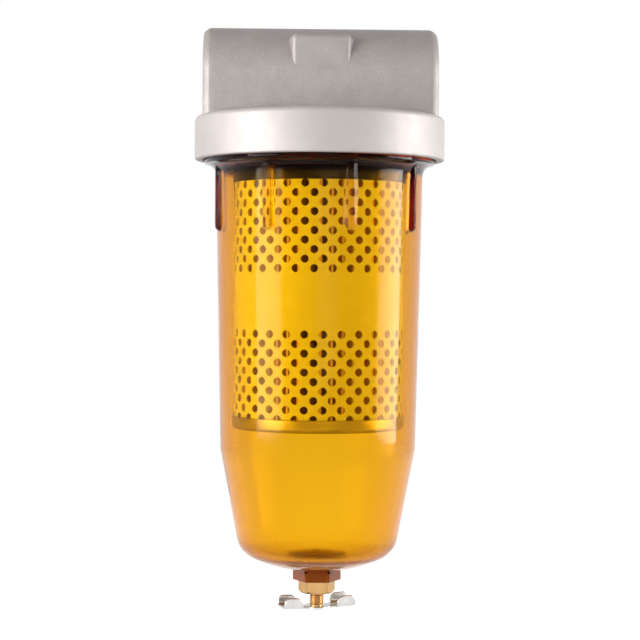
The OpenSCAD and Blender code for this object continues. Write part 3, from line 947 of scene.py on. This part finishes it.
def foot_outside():
    """Outline of the shoulder, the tapered foot, the dish and the drain boss, to the drain hole."""
    shoulder, foot_end, corner_at, corner, foot_angle, dish_angle, dish = bowl_lower(0.0)
    foot_start = (shoulder.x - SHOULDER_EDGE * FOOT_TAPER, shoulder.y - SHOULDER_EDGE)
    pts = tagged(stepped(SHOULDER_R, SHOULDER, SHOULDER_ROUND))
    pts += tagged(line(foot_start, foot_end, steps=12)[:-1])
    pts += tagged(arc(corner_at, corner, foot_angle, dish_angle, steps=12))
    stop = math.degrees(math.asin(DISH_END_R / dish)) - 90.0
    pts += tagged(arc((0.0, DISH_Z), dish, dish_angle, stop, steps=10)[1:])
    half = DRAIN_BOSS_AF / 2
    pts += tagged([(half + DRAIN_BOSS_EDGE, 0.0)], "boss_root")
    pts += tagged([(half, DRAIN_BOSS_TOP), (half, DRAIN_BOSS_LOW + DRAIN_BOSS_EDGE)], "boss")
    pts += tagged([(half - DRAIN_BOSS_ROUND, DRAIN_BOSS_LOW + DRAIN_BOSS_ROUND)], "boss")
    pts += tagged([(half - DRAIN_BOSS_EDGE, DRAIN_BOSS_LOW)], "boss")
    pts += tagged([(DRAIN_HOLE + DRAIN_HOLE_EDGE, DRAIN_BOSS_LOW)])
    pts += tagged([(DRAIN_HOLE, DRAIN_BOSS_LOW + DRAIN_HOLE_EDGE)])
    return pts


def bowl_inside():
    """Outline of the inside, from the drain hole's upper edge to the rim."""
    shoulder, foot_end, corner_at, corner, foot_angle, dish_angle, dish = bowl_lower(WALL)
    ring_foot = DISH_Z - math.sqrt(dish ** 2 - FLOOR_RING_R ** 2)
    pts = [(DRAIN_HOLE, FLOOR_RING - DRAIN_HOLE_EDGE), (DRAIN_HOLE + DRAIN_HOLE_EDGE, FLOOR_RING)]
    pts += [(FLOOR_RING_R - FLOOR_RING_EDGE, FLOOR_RING), (FLOOR_RING_R, FLOOR_RING - FLOOR_RING_EDGE)]
    pts += stepped(FLOOR_RING_R, ring_foot, FLOOR_RING_FOOT)
    start = math.degrees(math.asin((FLOOR_RING_R + FLOOR_RING_GAP) / dish)) - 90.0
    pts += arc((0.0, DISH_Z), dish, start, dish_angle, steps=10)
    pts += arc(corner_at, corner, dish_angle, foot_angle, steps=10)[1:]
    pts += line(foot_end, (shoulder.x, shoulder.y - SHOULDER_INNER_EDGE), steps=8)[1:]
    top_r = BODY_R - WALL
    pts += line((shoulder.x, shoulder.y + SHOULDER_INNER_EDGE), (top_r, BODY_TOP), steps=20)
    pts += [(top_r, NECK_LOW - NECK_STEP_EDGE), (top_r + NECK_STEP_EDGE, NECK_LOW)]
    pts += [(NECK_BORE - NECK_BORE_EDGE, NECK_LOW), (NECK_BORE, NECK_LOW + NECK_BORE_EDGE)]
    pts += [(NECK_BORE, RIM - NECK_BORE_EDGE), (NECK_BORE + NECK_BORE_EDGE, RIM)]
    return tagged(pts)


def rib_angles():
    return [RIB_TURN - 90.0 + i * 360.0 / RIB_COUNT for i in range(RIB_COUNT)]


def apart(a, b):
    """Degrees between two angles, the short way round."""
    return abs((a - b + 180.0) % 360.0 - 180.0)


def off_rib(a):
    return min(apart(a, rib) for rib in rib_angles())


def rib_radius(r, z, a):
    """Radius of the body at a height and an angle in degrees, with the ribs blended into it."""
    d = math.radians(off_rib(a))
    drop = max(0.0, RIB_END - z)
    size = math.sqrt(max(0.0, RIB_R ** 2 - drop ** 2))
    side = RIB_X * math.sin(d)
    if side >= size:
        return r
    return smooth_max(r, RIB_X * math.cos(d) + math.sqrt(size ** 2 - side ** 2), RIB_BLEND)


def neck_radius(r, z, a):
    """Radius of the neck's thread at a height and an angle in degrees."""
    turn = (z / NECK_PITCH - a / 360.0) % 1.0
    tooth = clamp(NECK_TOOTH_TOP - abs(turn - 0.5) * NECK_TOOTH_FLANK)
    from_rim = (RIM - RIM_EDGE - z) / NECK_RUN_OUT
    from_foot = (z - NECK_LOW - NECK_RUN_OUT) / NECK_RUN_OUT
    return r - NECK_TOOTH * (1.0 - tooth) * clamp(min(from_rim, from_foot))


def bowl_radius(point, a):
    r, z, kind = point
    if kind == "thread":
        return neck_radius(r, z, a), z
    if kind == "rib":
        return rib_radius(r, z, a), z
    if kind == "boss_root":
        r = hex_radius(2 * r, a)
        return r, DISH_Z - math.sqrt(DISH_R ** 2 - r ** 2)
    if kind == "boss":
        return hex_radius(2 * r, a), z
    return r, z


def bowl_angles():
    """Angles round the bowl, finer at the ribs and with the corners of the drain boss among them."""
    out = [a for a in even_angles(BOWL_SIDES) if off_rib(a) > RIB_ARC]
    for rib in rib_angles():
        out += [(rib + RIB_FINE_TURN * i) % 360.0 for i in range(-RIB_FINE_STEPS, RIB_FINE_STEPS + 1)]
    for corner in range(0, 360, 60):
        if min(apart(a, corner) for a in out) > CORNER_GAP:
            out.append(float(corner))
    return sorted(out)


def build_bowl():
    bm = bmesh.new()
    profile = neck_outside() + body_outside() + foot_outside() + bowl_inside()
    add_rings(bm, lathe_rings(profile, bowl_angles(), bowl_radius), along=True)
    for face in bm.faces:
        c = face.calc_center_median() / MM
        radial = math.hypot(c.x - AXIS_X, c.y)
        if c.z > THICK_LOW and radial > THICK_R:
            face.material_index = THICK_INDEX
        elif c.z < BOSS_TINT_TOP and radial < BOSS_TINT_R:
            face.material_index = BOSS_INDEX
    obj = finish_mesh(bm, "bowl_moulded", sharp_angle=40)
    place(obj, "bowl", [AMBER, AMBER_THICK, AMBER_BOSS], "bowl")


build_bowl()


# End caps of the element


def build_cap(name, node, outside, skirt_end, hole, material):
    """Pressed cap with a rounded edge, from the height of its flat face to that of its open edge."""
    up = 1.0 if outside > skirt_end else -1.0
    inner = CAP_R - CAP_T
    inner_round = CAP_ROUND - CAP_T
    round_r = CAP_R - CAP_ROUND
    round_z = outside - up * CAP_ROUND
    face_from, face_to = CAP_FACE_MARGINS
    profile = [(hole, outside - up * CAP_T), (hole, outside - up * CAP_HOLE_EDGE)]
    profile += [(hole + CAP_HOLE_EDGE, outside)]
    profile += line((hole + face_from, outside), (round_r - face_to, outside), steps=6)
    for i in range(CAP_STEPS + 1):
        a = math.radians(90.0 * i / CAP_STEPS)
        profile.append((round_r + CAP_ROUND * math.sin(a), round_z + up * CAP_ROUND * math.cos(a)))
    profile += [(CAP_R, skirt_end + up * CAP_SKIRT_EDGE), (CAP_R - CAP_SKIRT_ROUND, skirt_end)]
    profile += [(inner + CAP_SKIRT_INNER_ROUND, skirt_end), (inner, skirt_end + up * CAP_SKIRT_EDGE)]
    profile += [(inner, round_z)]
    for i in range(1, CAP_INNER_STEPS + 1):
        a = math.radians(90.0 * i / CAP_INNER_STEPS)
        r = inner - inner_round + inner_round * math.cos(a)
        profile.append((r, round_z + up * inner_round * math.sin(a)))
    obj = lathe(name, profile, even_angles(CAP_SIDES), sharp_angle=30)
    place(obj, "element", [material], node)


# The top cap takes the near-black colour that is painted shade
build_cap("top_cap_pressed", "element_top_cap", top_cap_hi.z, top_cap_lo.z, CAP_HOLE, TOP_CAP_SHADED)
build_cap("bottom_cap_pressed", "element_bottom_cap", low_cap_lo.z, low_cap_hi.z, 0.0, LOW_CAP)


# Drain cock

def threaded(r, depth, z, a, pitch):
    """Radius of a thread with broad crests at a height and an angle in degrees."""
    turn = (z / pitch - a / 360.0) % 1.0
    return r - depth * (0.5 - 0.5 * math.cos(TAU * turn)) ** CREST_POWER


def hex_angles():
    return [corner + HEX_TURN + d for corner in range(0, 360, 60) for d in HEX_STEPS]


def build_drain_body():
    pts = tagged([(SEAT_R, SHANK_TOP)] + stepped(SHANK_R, SHANK_TOP, SHANK_LEAD))
    z = SHANK_THREAD_TOP
    while z > SHANK_THREAD_LOW:
        pts += tagged([(SHANK_R, z)], "thread")
        z -= SHANK_PITCH / SHANK_STEPS
    neck = SHANK_R - SHANK_NECK
    pts += tagged([(neck, DRAIN_BOSS_LOW + SHANK_NECK_H), (neck, DRAIN_BOSS_LOW)])
    height = DRAIN_BOSS_LOW - HEX_LOW
    steps = [HEX_EDGE_STEP * i for i in range(HEX_EDGE_STEPS + 1)]
    depths = steps + [height / 2] + [height - step for step in reversed(steps)]
    pts += [(depth, DRAIN_BOSS_LOW - depth, "hex") for depth in depths]
    pts += tagged([(STEM_HOLE + STEM_HOLE_EDGE, HEX_LOW), (STEM_HOLE, HEX_LOW + STEM_HOLE_EDGE)])
    pts += tagged([(STEM_HOLE, SEAT - STEM_HOLE + SEAT_R), (SEAT_R, SEAT)])

    def radius(point, a):
        """A point of the kind hex holds its depth below the boss in place of a radius."""
        r, z, kind = point
        if kind == "thread":
            return threaded(r, SHANK_TOOTH, z, a, SHANK_PITCH), z
        if kind == "hex":
            corner = HEX_AF / 2 / math.cos(math.radians(30.0)) - HEX_CORNER
            side = smooth_min(hex_radius(HEX_AF, a - HEX_TURN), corner, HEX_CORNER_BLEND)
            return min(side, HEX_AF / 2 - HEX_CHAMFER + height - r), z
        return r, z

    obj = lathe("drain_fitting", pts, hex_angles(), sharp_angle=24, radius=radius)
    place(obj, "bowl", [BRASS], "drain_body")


def build_drain_stem():
    pts = tagged([(0.0, STEM_TIP), (SEAT_R, STEM_TIP), (LAND_R, STEM_TIP - LAND_R + SEAT_R)])
    pts += tagged([(LAND_R, LAND_LOW + LAND_EDGE)])
    z = LAND_LOW
    while z > WING_TOP + STEM_THREAD_GAP:
        pts += tagged([(STEM_R, z)], "thread")
        z -= STEM_PITCH / STEM_STEPS
    neck = STEM_R - STEM_NECK
    pts += tagged([(neck, WING_TOP + STEM_NECK_H), (neck, WING_TOP)])
    pts += tagged([(TANG_R, WING_TOP), (TANG_R, WING_LOW)])
    pts += tagged(stepped(RIVET_R, WING_LOW, RIVET_ROUND))
    pts += tagged([(STEM_BORE + STEM_BORE_EDGE_R, STEM_LOW), (STEM_BORE, STEM_LOW + STEM_BORE_EDGE_H)])
    pts += tagged([(STEM_BORE, STEM_BORE_TOP), (0.0, STEM_BORE_TOP)])

    def radius(point, a):
        r, z, kind = point
        if kind == "thread":
            full = min(1.0, (LAND_LOW - z) / STEM_RUN_IN, (z - WING_TOP) / STEM_RUN_OUT)
            return threaded(r, STEM_TOOTH * full, z, a, STEM_PITCH) - STEM_RUN_DEPTH * (1.0 - full), z
        return r, z

    obj = lathe("drain_spindle", pts, even_angles(STEM_SIDES), sharp_angle=40, radius=radius)
    place(obj, "drain_valve", [BRASS], "drain_stem")


def ear_half_width(x):
    """Half width of the handle's flat sheet, laid out, at a distance from the stem."""
    if x < EAR_START:
        disc = math.sqrt(max(0.0, (WING_W / 2) ** 2 - x * x))
        return smooth_max(disc, FOLD_FLAT, EAR_BLEND)
    u = min(x - EAR_START, WING_HALF - x)
    drop = EAR_ROUND - math.sqrt(max(0.0, EAR_ROUND ** 2 - max(0.0, EAR_ROUND - u) ** 2))
    rise = WING_H - drop - SHEET_T / 2
    if rise < FOLD_MID_R:
        return FOLD_FLAT + FOLD_MID_R * math.acos(1.0 - rise / FOLD_MID_R)
    return FOLD_FLAT + FOLD_MID_R * math.pi / 2 + rise - FOLD_MID_R


def handle_section(x, thick):
    """Ring of points round the folded sheet at a distance along the handle, with half its thickness there."""
    far = abs(x)
    half = ear_half_width(far)
    folded = far >= EAR_START - FOLD_LEAD

    def at(s, offset):
        """Across, height and bend of the sheet, at a distance s from its middle and off its mid-plane."""
        side = 1.0 if s > 0 else -1.0
        over = max(0.0, abs(s) - FOLD_FLAT) if folded else 0.0
        bend = min(over / FOLD_MID_R, math.pi / 2)
        y = min(abs(s), FOLD_FLAT) + FOLD_MID_R * math.sin(bend) if over else abs(s)
        z = FOLD_MID_R * (1.0 - math.cos(bend)) + max(0.0, over - FOLD_MID_R * math.pi / 2)
        return side * (y - offset * math.sin(bend)), z + offset * math.cos(bend), bend

    def face(offset):
        return [at(half * (2.0 * i / SHEET_COLUMNS - 1.0), offset)[:2] for i in range(SHEET_COLUMNS + 1)]

    def rim(side):
        """Rounded edge of the sheet on one side, from its upper face to its lower one."""
        y, z, bend = at(side * half, 0.0)
        out = []
        for i in range(1, RIM_STEPS):
            a = math.radians(180.0 * i / RIM_STEPS)
            reach = thick * math.sin(a)
            offset = thick * math.cos(a)
            across = reach * math.cos(bend) - offset * math.sin(bend)
            out.append((y + side * across, z + reach * math.sin(bend) + offset * math.cos(bend)))
        return out

    blend = clamp((far - RISE_START) / RISE_FADE)
    rise = far * math.tan(math.radians(WING_RISE)) * blend * blend * (3.0 - 2.0 * blend)
    lift = WING_LOW + SHEET_T / 2 + rise
    along = x * math.cos(math.radians(WING_RISE))
    cosine = math.cos(math.radians(WING_TURN))
    sine = math.sin(math.radians(WING_TURN))
    outline = face(thick) + rim(1.0) + face(-thick)[::-1] + rim(-1.0)[::-1]
    return [(AXIS_X + along * cosine - y * sine, along * sine + y * cosine, lift + z) for y, z in outline]


def build_handle():
    stations = [EAR_START * i / DISC_STEPS for i in range(DISC_STEPS)]
    stations += [EAR_START - d for d in BEFORE_EAR]
    stations += [EAR_START + d for d in AFTER_EAR]
    middle = WING_HALF - EAR_START - EAR_MIDDLE_FROM - EAR_MIDDLE_TO
    stations += [EAR_START + EAR_MIDDLE_FROM + middle * i / EAR_STEPS for i in range(EAR_STEPS + 1)]
    stations += [WING_HALF - d for d in BEFORE_END]
    rows = [(x, SHEET_T / 2) for x in stations]
    rows += [(WING_HALF - d, thick) for d, thick in END_ROUND]
    rows = [(-x, thick) for x, thick in rows[:0:-1]] + rows
    bm = bmesh.new()
    verts = add_rings(bm, [handle_section(x, thick) for x, thick in rows])
    for end in (verts[0], verts[-1]):
        bm.faces.new(end)
    obj = finish_mesh(bm, "handle_pressing", sharp_angle=50)
    place(obj, "drain_valve", [ZINC], "wing_handle")


build_drain_body()
build_drain_stem()
build_handle()


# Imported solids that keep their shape

KEPT = {
    "element_nipple": ZINC,
    "bowl_gasket": RUBBER,
    "stem_seal": RUBBER,
    "element_gasket": RUBBER,
    "element_thread_bush": ZINC,
    "element_outer_tube": TUBE,
    "pleated_media": PAPER,
    "element_core_tube": ZINC,
    "top_potting": RESIN,
    "bottom_potting": RESIN,
}
for node, material in KEPT.items():
    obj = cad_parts[node]
    obj.data.materials.clear()
    obj.data.materials.append(material)


# Floor, world, lights and camera

def seen_rays(nodes, links):
    """1 for camera, glossy and transmission rays, and 0 for the rest."""
    path = nodes.new("ShaderNodeLightPath")
    total = path.outputs["Is Camera Ray"]
    for kind in ("Is Glossy Ray", "Is Transmission Ray"):
        add = nodes.new("ShaderNodeMath")
        add.operation = "ADD"
        add.use_clamp = True
        links.new(total, add.inputs[0])
        links.new(path.outputs[kind], add.inputs[1])
        total = add.outputs[0]
    return total


def add_floor():
    half = FLOOR_HALF * MM
    z = (STEM_LOW - FLOOR_GAP) * MM
    corners = [(-half, -half, z), (half, -half, z), (half, half, z), (-half, half, z)]
    mesh = bpy.data.meshes.new("floor")
    mesh.from_pydata(corners, [], [(0, 1, 2, 3)])
    floor = new_object("floor", mesh)
    mat = bpy.data.materials.new("floor_white")
    mat.use_nodes = True
    nodes = mat.node_tree.nodes
    links = mat.node_tree.links
    nodes.clear()
    out = nodes.new("ShaderNodeOutputMaterial")
    strength = nodes.new("ShaderNodeMath")
    strength.operation = "MULTIPLY"
    strength.inputs[1].default_value = FLOOR_GLOW
    links.new(seen_rays(nodes, links), strength.inputs[0])
    grain = nodes.new("ShaderNodeTexNoise")
    grain.inputs["Scale"].default_value = FLOOR_GRAIN
    tint = nodes.new("ShaderNodeValToRGB")
    for element, grey in zip(tint.color_ramp.elements, FLOOR_GREYS):
        element.color = (grey, grey, grey, 1.0)
    links.new(grain.outputs["Fac"], tint.inputs["Fac"])
    diffuse = nodes.new("ShaderNodeBsdfDiffuse")
    links.new(tint.outputs["Color"], diffuse.inputs["Color"])
    glow = nodes.new("ShaderNodeEmission")
    links.new(strength.outputs[0], glow.inputs["Strength"])
    both = nodes.new("ShaderNodeAddShader")
    links.new(diffuse.outputs[0], both.inputs[0])
    links.new(glow.outputs[0], both.inputs[1])
    links.new(both.outputs[0], out.inputs["Surface"])
    floor.data.materials.append(mat)


def add_world():
    world = bpy.data.worlds.new("studio")
    bpy.context.scene.world = world
    world.use_nodes = True
    nodes = world.node_tree.nodes
    links = world.node_tree.links
    nodes.clear()
    out = nodes.new("ShaderNodeOutputWorld")
    level = nodes.new("ShaderNodeMapRange")
    level.inputs["To Min"].default_value = WORLD_AMBIENT
    level.inputs["To Max"].default_value = WORLD_SEEN
    links.new(seen_rays(nodes, links), level.inputs["Value"])
    back = nodes.new("ShaderNodeBackground")
    back.inputs["Color"].default_value = (1.0, 1.0, 1.0, 1.0)
    links.new(level.outputs["Result"], back.inputs["Strength"])
    links.new(back.outputs[0], out.inputs["Surface"])


def softbox(name, azimuth, distance, width, height, radiance):
    """Level area light that faces the bowl's axis. Azimuth 0 is the camera's side and 90 the outlet's."""
    data = bpy.data.lights.new(name, "AREA")
    data.shape = "RECTANGLE"
    data.size = width
    data.size_y = height
    data.energy = radiance * width * height * math.pi
    lamp = new_object(name, data)
    a = math.radians(azimuth)
    aim = Vector((AXIS_X, 0.0, LAMP_LEVEL)) * MM
    lamp.location = aim + distance * Vector((math.sin(a), -math.cos(a), 0.0))
    lamp.rotation_euler = (aim - lamp.location).to_track_quat("-Z", "Y").to_euler()


def add_camera():
    data = bpy.data.cameras.new("camera")
    data.sensor_width = SENSOR_W
    data.lens = LENS
    cam = new_object("camera", data)
    yaw = math.radians(EYE_YAW)
    aim_x = AXIS_X + AIM_SHIFT
    eye = Vector((aim_x + EYE_DISTANCE * math.sin(yaw), -EYE_DISTANCE * math.cos(yaw), EYE_LEVEL))
    cam.location = eye * MM
    aim = Vector((aim_x, 0.0, AIM_LEVEL)) * MM
    cam.rotation_euler = (aim - cam.location).to_track_quat("-Z", "Y").to_euler()
    cam.rotation_euler.rotate_axis("Z", math.radians(EYE_ROLL))
    bpy.context.scene.camera = cam


add_floor()
add_world()
for name, values in LAMPS.items():
    softbox(name, *values)
add_camera()
bpy.context.scene.view_settings.view_transform = "Standard"
bpy.context.scene.cycles.use_denoising = True
bpy.context.scene.cycles.max_bounces = CLEAR_BOUNCES
bpy.context.scene.cycles.transmission_bounces = CLEAR_BOUNCES
bpy.context.scene.cycles.glossy_bounces = GLOSSY_BOUNCES
